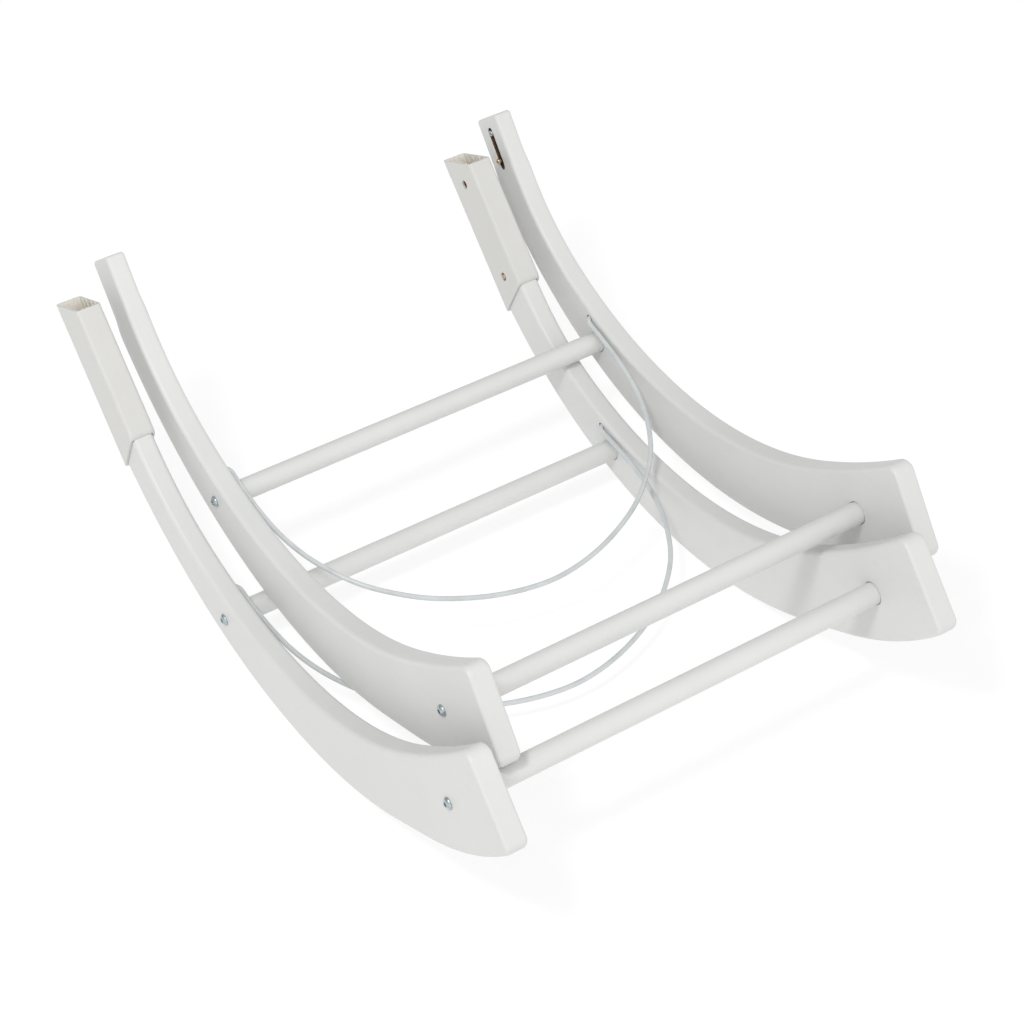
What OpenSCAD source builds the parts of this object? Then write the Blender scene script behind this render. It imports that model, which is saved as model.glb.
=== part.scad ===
// Stand of a demountable wooden baby swing, stored as two nested half frames.
// The socket frame lies on its curved rails; the plug frame rests on its crossbars.
// Each frame is drawn in its own plane: X across, Y towards the foot, Z towards the
// outside of the bend, with the lower crossbar's axis at Y = Z = 0. Millimetres.

/* [Frames] */
// Outside width of one half frame
frame_w = 524; // [420:1:640]
// Distance between the two crossbar axes
bar_gap = 467; // [400:1:560]
// Diameter of a crossbar
bar_d = 24; // [18:0.5:32]
// Depth that a crossbar is let into a rail
bar_inset = 4; // [2:0.5:8]

/* [Rails] */
// Thickness of a side rail
rail_t = 24; // [18:1:32]
// Radius along the long edges of a side rail
edge_r = 5; // [2:0.5:8]
// Corner radius of the foot on the outside of the bend
foot_r_out = 9; // [3:1:20]
// Corner radius of the foot on the inside of the bend
foot_r_in = 14; // [3:1:24]
// Edge radius round the foot's end face
foot_edge_r = 3; // [1:0.5:5]

/* [Tongues] */
// Length of a tongue from the middle of its shoulder
tongue_l = 80; // [60:1:90]
// Width of a tongue
tongue_w = 50; // [40:0.5:54]
// Amount each broad face steps in at the shoulder
tongue_step = 0.9; // [0.5:0.1:2]

/* [Sleeves] */
// Length of a sleeve along its middle
sleeve_l = 171; // [150:1:200]
// Outside width of a sleeve
sleeve_w = 60; // [56:0.5:66]
// Outside thickness of a sleeve
sleeve_t = 30; // [28:0.5:34]
// Wall thickness of a sleeve
sleeve_wall = 2.5; // [1.5:0.1:4]
// Diameter of a button hole
hole_d = 10; // [8:0.5:12]

/* [Spring buttons] */
// Distance of a button from the middle of the shoulder
button_a = 27.5; // [22:0.5:34]
// Distance of the leaf screw from the middle of the shoulder
screw_a = 61; // [58:0.5:64]
// Diameter of a button
button_d = 6.8; // [6:0.1:9]
// Height that a button stands out of its tongue
button_out = 5.8; // [4.2:0.1:6]

/* [Cables] */
// Diameter of a coated cable
cable_d = 6; // [4:0.1:7]
// Angle of the socket frame's cable loop to its frame plane
socket_cable_dir = 21.6; // [10:0.1:35]
// Angle of the plug frame's cable loop to its frame plane
plug_cable_dir = 22.8; // [10:0.1:35]
// Reach of the socket frame's loop from its holes
socket_cable_reach = 299; // [250:1:330]
// Reach of the plug frame's loop from its holes
plug_cable_reach = 289; // [250:1:330]

/* [Stacking] */
// Tilt of the lower frame where it balances on its bend
tilt = 13.2; // [0:0.5:20]
// Turn of the plug frame against the socket frame
nest_turn = 6.56; // [0:0.01:10]
// Shift of the plug frame towards the tongues
nest_back = 79; // [40:0.5:110]
// Shift of the plug frame off the socket frame
nest_up = 41.5; // [30:0.01:60]
// Sideways shift of the plug frame
nest_side = 49; // [30:1:70]

/* [Hidden] */
$fn = 64;
wood = [0.90, 0.90, 0.88];
bar_wood = [0.92, 0.92, 0.90];
plastic = [0.89, 0.89, 0.86];
zinc = [0.62, 0.62, 0.64];
brass = [0.72, 0.60, 0.36];
steel = [0.45, 0.42, 0.38];
coat = [0.50, 0.57, 0.63];

// Rail edges: start point, start heading, then arcs as radius and angle.
out_start = [103, 5.4];
out_head = 146;
out_arcs = [[456, 22.5], [4000, 1], [525, 64.7]];
in_start = [57.5, -86.9];
in_head = 147.9;
in_arcs = [[900, 9.8], [470, 56.1], [294, 27.5]];
tongue_head = 241.5;

function arc_l(g) = g[0] * g[1] * PI / 180;
function sum_l(gs, i = 0) = i == len(gs) ? 0 : arc_l(gs[i]) + sum_l(gs, i + 1);
function go(p, h, r, a) = p + r * [sin(h + a) - sin(h), cos(h) - cos(h + a)];
function walk(p, h, gs, s, i = 0) =
  s <= arc_l(gs[i]) || i == len(gs) - 1
    ? go(p, h, gs[i][0], s / gs[i][0] * 180 / PI)
    : walk(go(p, h, gs[i][0], gs[i][1]), h + gs[i][1], gs, s - arc_l(gs[i]), i + 1);
out_l = sum_l(out_arcs);
in_l = sum_l(in_arcs);
function out_pt(f) = walk(out_start, out_head, out_arcs, f * out_l);
function in_pt(f) = walk(in_start, in_head, in_arcs, f * in_l);

// Stations along a rail: the first few shape the rounded foot.
mean_l = (out_l + in_l) / 2;
foot_st = [0, 0.5, 1.5, 3, 5, 8, 11, 14.5];
rail_n = 34;
stations = concat(
  [for (s = foot_st) s / mean_l],
  [for (i = [1:rail_n]) 14.5 / mean_l + (1 - 14.5 / mean_l) * i / rail_n]);
function inset(r, s) = s >= r ? 0 : r - sqrt(r * r - (r - s) * (r - s));
corner_n = 4;
function ring(f) =
  let (
    s = f * mean_l,
    p = out_pt(f),
    q = in_pt(f),
    l = norm(q - p),
    e = (q - p) / l,
    ix = inset(foot_edge_r, s),
    y0 = inset(foot_r_out, s),
    y1 = l - inset(foot_r_in, s),
    r = max(edge_r - ix, 0.8))
  [for (c = [0:3]) for (k = [0:corner_n - 1])
    let (
      a = 180 + 90 * c + 90 * k / (corner_n - 1),
      yc = c == 0 || c == 3 ? y0 + r : y1 - r,
      xc = c < 2 ? ix + r : rail_t - ix - r,
      y = yc + r * cos(a),
      x = xc + r * sin(a))
    [x, p[0] + e[0] * y, p[1] + e[1] * y]];
ring_n = 4 * corner_n;
st_n = len(stations);
rail_pts = [for (f = stations) for (v = ring(f)) v];
rail_faces = concat(
  [[for (i = [0:ring_n - 1]) i]],
  [[for (i = [0:ring_n - 1]) (st_n - 1) * ring_n + ring_n - 1 - i]],
  [for (j = [0:st_n - 2]) for (i = [0:ring_n - 1])
    [j * ring_n + i, (j + 1) * ring_n + i, j * ring_n + (i + 1) % ring_n]],
  [for (j = [0:st_n - 2]) for (i = [0:ring_n - 1])
    [j * ring_n + (i + 1) % ring_n, (j + 1) * ring_n + i,
     (j + 1) * ring_n + (i + 1) % ring_n]]);

// Shoulder: its middle, and how far its ends lean along the tongue.
sh_out = out_pt(1);
sh_in = in_pt(1);
sh_mid = (sh_out + sh_in) / 2;
sh_dir = [cos(tongue_head), sin(tongue_head)];
sh_nrm = [sin(tongue_head), -cos(tongue_head)];
lean = ((sh_in - sh_out) * sh_dir) / ((sh_out - sh_in) * sh_nrm);

// Joint sizes.
fit = 0.15;
bolt_head_r = 6.4;
bolt_head_h = 4.1;
bolt_r = 2.95;
insert_r = 5;
insert_l = 20;
rib_gap = 0.4;
leaf_x = 19.5;
leaf_t = 0.8;
leaf_w = 8.4;
ferrule_r = 3.6;
slot_w = 10;
face_x = rail_t - tongue_step;

// Cable: where it enters a rail, its angle to the rail's face there, and half a route
// as distance from the rail's inner face and distance along the loop.
cable_hole = [-480, -25];
cable_exit = 55;
half_route = [
  [-11, -7.7], [-6, -4.2], [-0.5, -0.35], [1.6, 1.6], [3, 3.7], [3.9, 6.2],
  [4.2, 12], [4.2, 20], [4.2, 35], [5.7, 70], [9.8, 105], [18.7, 140], [33, 173],
  [52, 203], [77, 229], [105, 251], [136, 268], [168, 281], [203, 290],
  [238, 293.5]];
// The left half also leans out of the loop's plane by these amounts, towards the belly.
left_lean = [0, 0, 0, 0.2, 0.6, 1.1, 1.9, 2.5, 3.2, 3.5, 3, 1.8, 0.8, 0.2];
half_n = len(half_route);
half_reach = half_route[half_n - 1][1];
route = concat(
  [for (i = [0:half_n - 1])
    let (p = half_route[i], w = i < len(left_lean) ? left_lean[i] : 0)
    [rail_t + p[0], p[1], w]],
  [for (i = [1:half_n - 1])
    let (p = half_route[half_n - 1 - i]) [frame_w - rail_t - p[0], p[1], 0]]);
function cr(a, b, c, d, t) =
  0.5 * (2 * b + (c - a) * t + (2 * a - 5 * b + 4 * c - d) * t * t
    + (3 * b - a - 3 * c + d) * t * t * t);
function rt(i) =
  i < 0 ? 2 * route[0] - route[1]
  : i >= len(route) ? 2 * route[len(route) - 1] - route[len(route) - 2]
  : route[i];
function seg_k(i) = norm(rt(i + 1) - rt(i)) > 20 ? 3 : 1;
cable_mid = concat(
  [for (i = [0:len(route) - 2]) for (k = [0:seg_k(i) - 1])
    cr(rt(i - 1), rt(i), rt(i + 1), rt(i + 2), k / seg_k(i))],
  [route[len(route) - 1]]);
cable_m = len(cable_mid);
cable_sides = 8;

// Only the part of a loop beyond 20 mm stretches to its own reach.
function cable_line(reach) =
  [for (p = cable_mid)
    let (far = 20 + (p[1] - 20) * (reach - 20) / (half_reach - 20))
    [p[0], p[1] < 20 ? p[1] : far, p[2]]];
function tangent(line, i) =
  let (a = line[max(i - 1, 0)], b = line[min(i + 1, cable_m - 1)])
  (b - a) / norm(b - a);
function loop_pt(x, y, w, dir) =
  [x, cable_hole[0] + y * cos(dir) - w * sin(dir), cable_hole[1] + y * sin(dir) + w * cos(dir)];
function cable_pts(dir, reach) =
  let (line = cable_line(reach))
  [for (i = [0:cable_m - 1]) for (k = [0:cable_sides - 1])
    let (
      c = line[i],
      t = tangent(line, i),
      a = 360 * (k + 0.5) / cable_sides,
      o = cable_d / 2 * cos(a))
    loop_pt(c[0] - t[1] * o, c[1] + t[0] * o, c[2] + cable_d / 2 * sin(a), dir)];
cable_faces = concat(
  [[for (k = [0:cable_sides - 1]) k]],
  [[for (k = [0:cable_sides - 1]) cable_m * cable_sides - 1 - k]],
  [for (i = [0:cable_m - 2]) for (k = [0:cable_sides - 1])
    [i * cable_sides + k, (i + 1) * cable_sides + k,
     i * cable_sides + (k + 1) % cable_sides]],
  [for (i = [0:cable_m - 2]) for (k = [0:cable_sides - 1])
    [i * cable_sides + (k + 1) % cable_sides, (i + 1) * cable_sides + k,
     (i + 1) * cable_sides + (k + 1) % cable_sides]]);

// Placing in the world: the origin is under the middle of the stack.
belly = min([for (f = stations)
  let (p = out_pt(f)) p[0] * sin(tilt) - p[1] * cos(tilt)]);
mid_x = (frame_w + nest_side) / 2;
mid_y = 349.2;

module world() {
  translate([-mid_x, -mid_y, -belly])
    rotate([180 - tilt, 0, 0])
      children();
}

module nested() {
  world()
    translate([nest_side, -nest_back, -nest_up])
      rotate([nest_turn, 0, 0])
        children();
}

module right() {
  translate([frame_w, 0, 0])
    mirror([1, 0, 0])
      children();
}

// Along X from x0 to x1 at [y, z].
module rod(r, x0, x1, at) {
  translate([x0, at[0], at[1]])
    rotate([0, 90, 0])
      cylinder(r = r, h = x1 - x0);
}

// Tongue coordinates: Y across towards the outside of the bend, Z along the tongue.
module head() {
  translate([0, sh_mid[0], sh_mid[1]])
    rotate([tongue_head - 90, 0, 0])
      children();
}

// Cable hole coordinates: Z out of the rail along the cable.
module exit_hole(dir) {
  translate([rail_t, cable_hole[0], cable_hole[1]])
    rotate([dir, 0, 0])
      rotate([0, 0, 90 - cable_exit])
        rotate([0, 90, 0])
          rotate([0, 0, 90])
            children();
}

module round_rect(x0, x1, y0, y1, r) {
  translate([x0 + r, y0])
    square([x1 - x0 - 2 * r, y1 - y0]);
  translate([x0, y0 + r])
    square([x1 - x0, y1 - y0 - 2 * r]);
  for (x = [x0 + r, x1 - r])
    for (y = [y0 + r, y1 - r])
      translate([x, y])
        circle(r = r);
}

// A flat outline in Y and Z, extruded along X from x0 to x1.
module side_prism(x0, x1) {
  translate([x0, 0, 0])
    rotate([90, 0, 90])
      linear_extrude(height = x1 - x0)
        children();
}

module tongue_solid() {
  back = 24;
  tip = 2.5;
  w = tongue_w / 2;
  intersection() {
    translate([0, 0, -back])
      linear_extrude(height = tongue_l + back)
        round_rect(tongue_step, face_x, -w, w, 3);
    side_prism(0, rail_t)
      polygon([
        [-w - 1, -back - 1], [w + 1, -back - 1], [w + 1, tongue_l - tip - 1],
        [w - tip, tongue_l], [tip - w, tongue_l], [-w - 1, tongue_l - tip - 1]]);
    translate([0, w + 2, 0])
      rotate([90, 0, 0])
        linear_extrude(height = 2 * w + 4)
          polygon([
            [0, -back - 1], [rail_t, -back - 1], [rail_t, tongue_l - tip],
            [face_x - tip + 0.5, tongue_l], [tongue_step + tip - 0.5, tongue_l],
            [0, tongue_l - tip]]);
  }
}

// Slot for the leaf spring, with a step that the leaf is screwed to.
module slot_cut() {
  z0 = button_a - 11;
  z1 = screw_a + 6.5;
  r = slot_w / 2;
  floor_x = 12.6;
  step_x = leaf_x - 0.9;
  intersection() {
    hull()
      for (z = [z0 + r, z1 - r])
        translate([floor_x, 0, z])
          rotate([0, 90, 0])
            cylinder(r = r, h = 20);
    translate([floor_x, -r - 1, z0 - 1])
      cube([20, slot_w + 2, screw_a - 4 - z0 + 1]);
  }
  intersection() {
    hull()
      for (z = [z0 + r, z1 - r])
        translate([step_x, 0, z])
          rotate([0, 90, 0])
            cylinder(r = r, h = 20);
    translate([step_x, -r - 1, screw_a - 5])
      cube([20, slot_w + 2, z1 - screw_a + 6]);
  }
  translate([6, 0, screw_a])
    rotate([0, 90, 0])
      cylinder(r = 1.5, h = 14);
}

module rail_solid(cable_dir) {
  difference() {
    union() {
      polyhedron(points = rail_pts, faces = rail_faces, convexity = 6);
      head()
        tongue_solid();
    }
    for (y = [0, -bar_gap]) {
      rod(bar_d / 2 + fit, rail_t - bar_inset, rail_t + 5, [y, 0]);
      rod(bolt_r + 0.25, -1, rail_t, [y, 0]);
    }
    exit_hole(cable_dir)
      translate([0, 0, -17])
        cylinder(r = ferrule_r + 0.1, h = 30);
    head()
      slot_cut();
  }
}

module bar_solid(y) {
  x0 = rail_t - bar_inset;
  x1 = frame_w - x0;
  difference() {
    rod(bar_d / 2, x0, x1, [y, 0]);
    rod(insert_r + 0.05, x0 - 1, x0 + 26, [y, 0]);
    rod(insert_r + 0.05, x1 - 26, x1 + 1, [y, 0]);
  }
}

module insert_solid(y) {
  x0 = rail_t - bar_inset + 0.5;
  difference() {
    rod(insert_r, x0, x0 + insert_l, [y, 0]);
    rod(bolt_r + 0.05, x0 - 1, x0 + insert_l + 1, [y, 0]);
  }
}

// Domed head against the rail's outer face, with a hexagon socket.
module bolt_solid(y) {
  r = bolt_head_r;
  h = bolt_head_h;
  translate([0, y, 0])
    rotate([0, 90, 0])
      difference() {
        union() {
          rotate_extrude()
            polygon([
              [0, 0], [r - 0.1, 0], [r, -0.5], [r - 0.1, -1.1], [r - 0.5, -1.9], [r - 1.2, -2.7],
              [r - 2.1, -3.4], [r - 3, -0.95 * h], [r - 3.4, -h], [0, -h]]);
          translate([0, 0, -0.5])
            cylinder(r = bolt_r, h = rail_t - bar_inset + insert_l + 0.5);
        }
        translate([0, 0, -h - 1])
          cylinder(r = 2.6, h = 3.4, $fn = 6);
      }
}

module sleeve_solid() {
  x0 = (rail_t - sleeve_t) / 2;
  x1 = x0 + sleeve_t;
  w = sleeve_w / 2;
  t = sleeve_wall;
  iw = w - t;
  ix0 = x0 + t;
  ix1 = x1 - t;
  rx = face_x + rib_gap;
  rw = tongue_w / 2 + rib_gap;
  tail = 0.15;
  difference() {
    intersection() {
      translate([0, 0, -40])
        linear_extrude(height = sleeve_l + 80)
          difference() {
            round_rect(x0, x1, -w, w, 4.5);
            difference() {
              round_rect(ix0, ix1, -iw, iw, 2);
              for (y = [-19, -7, 7, 19]) {
                translate([ix0 - 1, y - 1])
                  square([rail_t - rx - ix0 + 1, 2]);
                translate([rx, y - 1])
                  square([ix1 - rx + 1, 2]);
              }
              for (x = [rail_t / 2 - 6, rail_t / 2, rail_t / 2 + 6]) {
                translate([x - 1, rw])
                  square([2, iw - rw + 1]);
                translate([x - 1, -iw - 1])
                  square([2, iw - rw + 1]);
              }
            }
          }
      side_prism(x0 - 1, x1 + 1)
        polygon([
          [-w - 2, tail + lean * (w + 2)], [w + 2, tail - lean * (w + 2)],
          [w + 2, sleeve_l + lean * (w + 2)], [-w - 2, sleeve_l - lean * (w + 2)]]);
    }
    for (z = [button_a, sleeve_l - button_a])
      translate([face_x - 2, 0, z])
        rotate([0, 90, 0])
          cylinder(r = hole_d / 2, h = 10);
  }
}

module leaf_solid() {
  difference() {
    translate([leaf_x, -leaf_w / 2, button_a - 4.4])
      cube([leaf_t, leaf_w, screw_a + 4 - button_a + 4.4]);
    translate([leaf_x - 1, 0, screw_a])
      rotate([0, 90, 0])
        cylinder(r = 1.9, h = 3);
  }
}

module leaf_screw_solid() {
  x0 = leaf_x + leaf_t + 0.8;
  translate([0, 0, screw_a])
    rotate([0, 90, 0]) {
      difference() {
        union() {
          translate([0, 0, x0])
            cylinder(r = 3.7, h = 1.6);
          translate([0, 0, x0 + 1.6])
            cylinder(r1 = 3.7, r2 = 2.4, h = 1.5);
        }
        translate([0, 0, x0 + 2.4])
          cube([1.0, 4.4, 2], center = true);
        translate([0, 0, x0 + 2.4])
          cube([4.4, 1.0, 2], center = true);
      }
      translate([0, 0, 7])
        cylinder(r = 1.45, h = x0 + 0.1 - 7);
    }
}

module button_solid() {
  x0 = leaf_x + leaf_t;
  x1 = face_x + button_out;
  r = button_d / 2;
  cap = 3.2;
  ball = (r * r + cap * cap) / (2 * cap);
  translate([0, 0, button_a])
    rotate([0, 90, 0]) {
      translate([0, 0, x0])
        cylinder(r = r, h = x1 - cap - x0);
      intersection() {
        translate([0, 0, x1 - ball])
          sphere(r = ball);
        translate([0, 0, x1 - cap - 0.2])
          cylinder(r = r, h = cap + 1);
      }
    }
}

module ferrule_solid(cable_dir) {
  exit_hole(cable_dir)
    difference() {
      translate([0, 0, -16])
        cylinder(r = ferrule_r, h = 11);
      translate([0, 0, -13.8])
        cylinder(r = cable_d / 2 + 0.05, h = 12);
    }
}

module cable_solid(dir, reach) {
  polyhedron(points = cable_pts(dir, reach), faces = cable_faces, convexity = 6);
}

module socket_left_rail() {
  color(wood)
    world()
      rail_solid(socket_cable_dir);
}

module socket_right_rail() {
  color(wood)
    world()
      right()
        rail_solid(socket_cable_dir);
}

module socket_upper_bar() {
  color(bar_wood)
    world()
      bar_solid(-bar_gap);
}

module socket_lower_bar() {
  color(bar_wood)
    world()
      bar_solid(0);
}

module socket_bolt_upper_left() {
  color(zinc)
    world()
      bolt_solid(-bar_gap);
}

module socket_insert_upper_left() {
  color(zinc)
    world()
      insert_solid(-bar_gap);
}

module socket_bolt_upper_right() {
  color(zinc)
    world()
      right()
        bolt_solid(-bar_gap);
}

module socket_insert_upper_right() {
  color(zinc)
    world()
      right()
        insert_solid(-bar_gap);
}

module socket_bolt_lower_left() {
  color(zinc)
    world()
      bolt_solid(0);
}

module socket_insert_lower_left() {
  color(zinc)
    world()
      insert_solid(0);
}

module socket_bolt_lower_right() {
  color(zinc)
    world()
      right()
        bolt_solid(0);
}

module socket_insert_lower_right() {
  color(zinc)
    world()
      right()
        insert_solid(0);
}

module socket_left_sleeve() {
  color(plastic)
    world()
      head()
        sleeve_solid();
}

module socket_right_sleeve() {
  color(plastic)
    world()
      right()
        head()
          sleeve_solid();
}

module socket_left_leaf() {
  color(steel)
    world()
      head()
        leaf_solid();
}

module socket_right_leaf() {
  color(steel)
    world()
      right()
        head()
          leaf_solid();
}

module socket_left_leaf_screw() {
  color(zinc)
    world()
      head()
        leaf_screw_solid();
}

module socket_right_leaf_screw() {
  color(zinc)
    world()
      right()
        head()
          leaf_screw_solid();
}

module socket_left_button() {
  color(brass)
    world()
      head()
        button_solid();
}

module socket_right_button() {
  color(brass)
    world()
      right()
        head()
          button_solid();
}

module socket_cable() {
  color(coat)
    world()
      cable_solid(socket_cable_dir, socket_cable_reach);
}

module socket_left_ferrule() {
  color(zinc)
    world()
      ferrule_solid(socket_cable_dir);
}

module socket_right_ferrule() {
  color(zinc)
    world()
      right()
        ferrule_solid(socket_cable_dir);
}

module plug_left_rail() {
  color(wood)
    nested()
      rail_solid(plug_cable_dir);
}

module plug_right_rail() {
  color(wood)
    nested()
      right()
        rail_solid(plug_cable_dir);
}

module plug_upper_bar() {
  color(bar_wood)
    nested()
      bar_solid(-bar_gap);
}

module plug_lower_bar() {
  color(bar_wood)
    nested()
      bar_solid(0);
}

module plug_bolt_upper_left() {
  color(zinc)
    nested()
      bolt_solid(-bar_gap);
}

module plug_insert_upper_left() {
  color(zinc)
    nested()
      insert_solid(-bar_gap);
}

module plug_bolt_upper_right() {
  color(zinc)
    nested()
      right()
        bolt_solid(-bar_gap);
}

module plug_insert_upper_right() {
  color(zinc)
    nested()
      right()
        insert_solid(-bar_gap);
}

module plug_bolt_lower_left() {
  color(zinc)
    nested()
      bolt_solid(0);
}

module plug_insert_lower_left() {
  color(zinc)
    nested()
      insert_solid(0);
}

module plug_bolt_lower_right() {
  color(zinc)
    nested()
      right()
        bolt_solid(0);
}

module plug_insert_lower_right() {
  color(zinc)
    nested()
      right()
        insert_solid(0);
}

module plug_left_leaf() {
  color(steel)
    nested()
      head()
        leaf_solid();
}

module plug_right_leaf() {
  color(steel)
    nested()
      right()
        head()
          leaf_solid();
}

module plug_left_leaf_screw() {
  color(zinc)
    nested()
      head()
        leaf_screw_solid();
}

module plug_right_leaf_screw() {
  color(zinc)
    nested()
      right()
        head()
          leaf_screw_solid();
}

module plug_left_button() {
  color(brass)
    nested()
      head()
        button_solid();
}

module plug_right_button() {
  color(brass)
    nested()
      right()
        head()
          button_solid();
}

module plug_cable() {
  color(coat)
    nested()
      cable_solid(plug_cable_dir, plug_cable_reach);
}

module plug_left_ferrule() {
  color(zinc)
    nested()
      ferrule_solid(plug_cable_dir);
}

module plug_right_ferrule() {
  color(zinc)
    nested()
      right()
        ferrule_solid(plug_cable_dir);
}

socket_left_rail();
socket_right_rail();
socket_upper_bar();
socket_lower_bar();
socket_bolt_upper_left();
socket_bolt_upper_right();
socket_bolt_lower_left();
socket_bolt_lower_right();
socket_insert_upper_left();
socket_insert_upper_right();
socket_insert_lower_left();
socket_insert_lower_right();
socket_left_sleeve();
socket_right_sleeve();
socket_left_leaf();
socket_right_leaf();
socket_left_leaf_screw();
socket_right_leaf_screw();
socket_left_button();
socket_right_button();
socket_cable();
socket_left_ferrule();
socket_right_ferrule();
plug_left_rail();
plug_right_rail();
plug_upper_bar();
plug_lower_bar();
plug_bolt_upper_left();
plug_bolt_upper_right();
plug_bolt_lower_left();
plug_bolt_lower_right();
plug_insert_upper_left();
plug_insert_upper_right();
plug_insert_lower_left();
plug_insert_lower_right();
plug_left_leaf();
plug_right_leaf();
plug_left_leaf_screw();
plug_right_leaf_screw();
plug_left_button();
plug_right_button();
plug_cable();
plug_left_ferrule();
plug_right_ferrule();
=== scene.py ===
"""Looks of a demountable baby swing's stand: two half frames, one nested in the other."""

import math

import bmesh
import bpy
import numpy as np
from mathutils import Matrix, Vector


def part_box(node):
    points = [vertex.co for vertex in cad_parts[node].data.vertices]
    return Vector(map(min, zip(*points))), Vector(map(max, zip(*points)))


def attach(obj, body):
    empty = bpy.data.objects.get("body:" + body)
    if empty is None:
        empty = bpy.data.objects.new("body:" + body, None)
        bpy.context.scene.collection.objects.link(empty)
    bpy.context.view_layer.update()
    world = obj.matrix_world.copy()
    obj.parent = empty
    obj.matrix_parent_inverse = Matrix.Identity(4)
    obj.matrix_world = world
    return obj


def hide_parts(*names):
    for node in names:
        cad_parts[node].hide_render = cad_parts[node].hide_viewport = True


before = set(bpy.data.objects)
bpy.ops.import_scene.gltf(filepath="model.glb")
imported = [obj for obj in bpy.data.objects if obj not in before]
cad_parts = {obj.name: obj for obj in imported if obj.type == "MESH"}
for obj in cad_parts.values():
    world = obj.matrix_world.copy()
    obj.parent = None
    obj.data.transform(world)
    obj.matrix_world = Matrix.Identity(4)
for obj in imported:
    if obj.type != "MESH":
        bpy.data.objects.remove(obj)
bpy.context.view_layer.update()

# ---------------------------------------------------------------- sizes, in metres
MM = 0.001
FRAMES = ("socket", "plug")
SIDES = ("left", "right")
LEVELS = ("upper", "lower")

FRAME_W = 524 * MM
BAR_GAP = 467 * MM
BAR_R = 12 * MM
BAR_INSET = 4 * MM
BAR_Y = {"lower": 0, "upper": -BAR_GAP}
RAIL_T = 24 * MM
EDGE_R = 5 * MM
FOOT_R_OUT = 9 * MM
FOOT_R_IN = 14 * MM
FOOT_EDGE_R = 3 * MM

# Rail edges in the frame's plane: start point, start heading, arcs as (radius, degrees).
OUT_EDGE = ((103 * MM, 5.4 * MM), 146, ((456 * MM, 22.5), (4000 * MM, 1), (525 * MM, 64.7)))
IN_EDGE = ((57.5 * MM, -86.9 * MM), 147.9, ((900 * MM, 9.8), (470 * MM, 56.1), (294 * MM, 27.5)))

TONGUE_HEAD = 241.5
TONGUE_L = 80 * MM
TONGUE_W = 50 * MM
TONGUE_STEP = 0.9 * MM
TONGUE_CORNER = 4.5 * MM
TIP_ROUND = 4 * MM, 3 * MM  # across the tongue, and through its thickness
SHOULDER_FADE = {"socket": 1 * MM, "plug": 26 * MM}
FACE_X = RAIL_T - TONGUE_STEP

SLEEVE_L = 171 * MM
SLEEVE_W = 60 * MM
SLEEVE_T = 30 * MM
SLEEVE_WALL = 2.5 * MM
TAIL_HOLE_W = 52.3 * MM
HOLE_R = 5 * MM
BUTTON_A = 27.5 * MM
SCREW_A = 61 * MM
BUTTON_R = 3.4 * MM
BUTTON_OUT = 5.8 * MM
LEAF_X = 19.5 * MM
LEAF_T = 0.8 * MM
LEAF_W = 8.4 * MM
SLOT_W = 10 * MM
SLOT_ENDS = BUTTON_A - 11 * MM, SCREW_A + 6.5 * MM
SLOT_EDGE = 0.5 * MM
SLOT_FLOOR_X = 12.6 * MM  # floor of the well that the leaf bends into
SLOT_STEP_X = LEAF_X - 0.9 * MM  # the ledge round the well
SCREW_TIP_X = 7 * MM
SCREW_HOLE_R = 1.5 * MM

BOLT_HEAD_R = 6.4 * MM
BOLT_HEAD_H = 4.1 * MM
BOLT_R = 2.95 * MM
BOLT_HOLE_R = 3.2 * MM
BOLT_SOCKET_R = 2.6 * MM  # over the hexagon's corners
INSERT_L = 20 * MM
INSERT_BORE = 26 * MM, 5.05 * MM  # its hole's depth and radius in the bar's end
FERRULE_R = 3.6 * MM

CABLE_D = 5.6 * MM
CABLE_HOLE = (-480 * MM, -25 * MM)
CABLE_EXIT = 55  # degrees from the loop's axis to the hole's
CABLE_DIR = {"socket": 21.6, "plug": 22.8}  # degrees, the loop's axis in the frame's plane
CABLE_REACH = {"socket": 299 * MM, "plug": 289 * MM}
CABLE_FIXED = 20 * MM  # the stretch next to the rail, the same at any reach
CABLE_STEPS = 8  # straight pieces between two points of the route
CABLE_BORE = 17 * MM, 30 * MM  # where the hole starts behind the rail's face, and its length
# Half a cable's route in mm: distance from the rail's inner face, and along the loop.
HALF_ROUTE = [
    (-11, -7.7), (-6, -4.2), (-0.5, -0.35), (1.6, 1.6), (3, 3.7), (3.9, 6.2), (4.2, 12),
    (4.2, 20), (4.2, 35), (5.7, 70), (9.8, 105), (18.7, 140), (33, 173), (52, 203),
    (77, 229), (105, 251), (136, 268), (168, 281), (203, 290), (238, 293.5),
]
# How far the left half leans out of the loop's plane, towards the belly, in mm.
LEFT_LEAN = (0, 0, 0, 0.2, 0.6, 1.1, 1.9, 2.5, 3.2, 3.5, 3, 1.8, 0.8, 0.2)

# ---------------------------------------------------------------- camera
CAMERA_AT = (-1.08294, -1.76725, 1.83720)
CAMERA_HEADING = 58.2259  # of the line of sight, from +X towards +Y
CAMERA_DOWN = 39.4379
CAMERA_ROLL = -2.4945
CAMERA_FOCAL = 2534.0 / 1024  # in widths of the picture


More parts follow.
